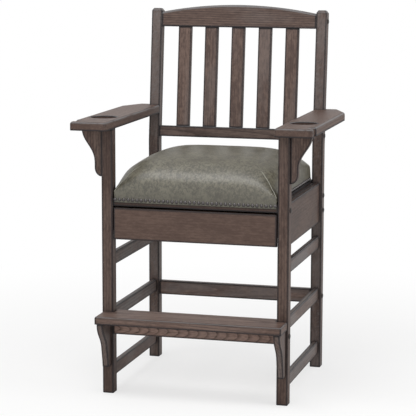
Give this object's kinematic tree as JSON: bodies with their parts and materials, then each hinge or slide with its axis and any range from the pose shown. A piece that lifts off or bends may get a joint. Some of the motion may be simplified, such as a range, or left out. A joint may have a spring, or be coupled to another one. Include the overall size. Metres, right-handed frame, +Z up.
{
  "type": "spectator chair",
  "caption": "Bar-height wooden armchair with a slatted back, wide arms with cup rests and cue notches, a footrest, a drawer and a crowned leather seat.",
  "frame": {"origin": "middle of the chair's footprint box, on the floor", "axes": "+X to the sitter's left, which is the viewer's right in front of the chair; the front faces -Y; +Z up"},
  "size_m": [0.804, 0.7026, 1.2707],
  "materials": {
    "stained_oak": "satin grey-brown stain and lacquer, lighter where edges are rubbed",
    "inner_wood": "plain, lightly sealed",
    "wood_buttons": "satin dark stain over a steel bolt",
    "leather": "mottled olive grey, semi-gloss",
    "nailheads": "dark antique pewter",
    "slide_steel": "zinc plated"
  },
  "bodies": {
    "frame": {"left_crest_bolt": "wood_buttons", "left_lower_rail_bolt": "wood_buttons", "right_crest_bolt": "wood_buttons", "right_lower_rail_bolt": "wood_buttons", "lower_back_rail": "stained_oak", "crest_rail": "stained_oak", "back_slat_1": "stained_oak", "back_slat_2": "stained_oak", "back_slat_3": "stained_oak", "back_slat_4": "stained_oak", "back_slat_5": "stained_oak", "left_front_leg": "stained_oak", "left_rear_post": "stained_oak", "left_side_panel": "stained_oak", "left_lower_side_stretcher": "stained_oak", "left_middle_side_stretcher": "stained_oak", "left_upper_side_stretcher": "stained_oak", "left_arm": "stained_oak", "left_arm_bracket": "stained_oak", "left_footrest_bracket": "stained_oak", "left_seat_ledger": "inner_wood", "left_slide_channel": "slide_steel", "left_front_rail_bolt": "wood_buttons", "left_front_stretcher_bolt": "wood_buttons", "left_upper_apron_bolt": "wood_buttons", "left_lower_apron_bolt": "wood_buttons", "left_rear_stretcher_bolt": "wood_buttons", "right_front_leg": "stained_oak", "right_rear_post": "stained_oak", "right_side_panel": "stained_oak", "right_lower_side_stretcher": "stained_oak", "right_middle_side_stretcher": "stained_oak", "right_upper_side_stretcher": "stained_oak", "right_arm": "stained_oak", "right_arm_bracket": "stained_oak", "right_footrest_bracket": "stained_oak", "right_seat_ledger": "inner_wood", "right_slide_channel": "slide_steel", "right_front_rail_bolt": "wood_buttons", "right_front_stretcher_bolt": "wood_buttons", "right_upper_apron_bolt": "wood_buttons", "right_lower_apron_bolt": "wood_buttons", "right_rear_stretcher_bolt": "wood_buttons", "rear_apron": "stained_oak", "rear_stretcher": "stained_oak", "front_seat_rail": "stained_oak", "front_stretcher": "stained_oak", "footrest_board": "stained_oak", "seat_board": "inner_wood", "seat_cushion": "leather", "front_nail_trim": "nailheads", "left_nail_trim": "nailheads", "right_nail_trim": "nailheads"},
    "drawer": {"drawer_front": "stained_oak", "drawer_left_side": "inner_wood", "drawer_right_side": "inner_wood", "drawer_back": "inner_wood", "drawer_bottom": "inner_wood", "left_slide_runner": "slide_steel", "right_slide_runner": "slide_steel"}
  },
  "joints": [
    {"name": "drawer_slide", "type": "slide", "parent": "frame", "child": "drawer", "axis": [0, -1, 0], "range_m": [0, 0.3]}
  ]
}
